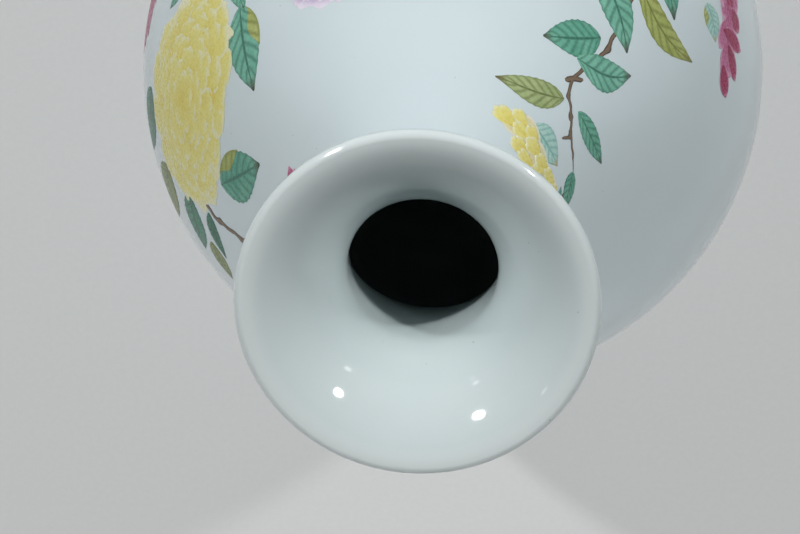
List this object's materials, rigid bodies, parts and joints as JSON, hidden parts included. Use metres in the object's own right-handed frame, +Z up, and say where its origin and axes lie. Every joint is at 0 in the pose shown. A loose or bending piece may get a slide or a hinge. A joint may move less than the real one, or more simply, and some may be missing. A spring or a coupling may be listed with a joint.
{
  "type": "yuhuchunping vase",
  "caption": "Pear-shaped porcelain vase with a trumpet mouth, slender neck, round belly and turned foot ring; holds flowers or stands as an ornament.",
  "frame": {"origin": "centre of the foot ring's resting face", "axes": "+Z up along the axis of the vase, from the foot to the mouth; -Y towards the painted side that shows over the mouth in the picture"},
  "size_m": [0.184, 0.184, 0.295],
  "materials": {
    "porcelain_body": "bare fired porcelain, smooth and matt",
    "luting_slip": "fired slip",
    "clear_glaze": "gloss, pale blue-white, painted with overglaze enamels outside"
  },
  "bodies": {
    "root": {"lower_body": "porcelain_body", "girth_slip": "luting_slip", "upper_body": "porcelain_body", "neck_slip": "luting_slip", "neck": "porcelain_body", "outer_glaze": "clear_glaze", "inner_glaze": "clear_glaze", "base_glaze": "clear_glaze"}
  },
  "joints": []
}
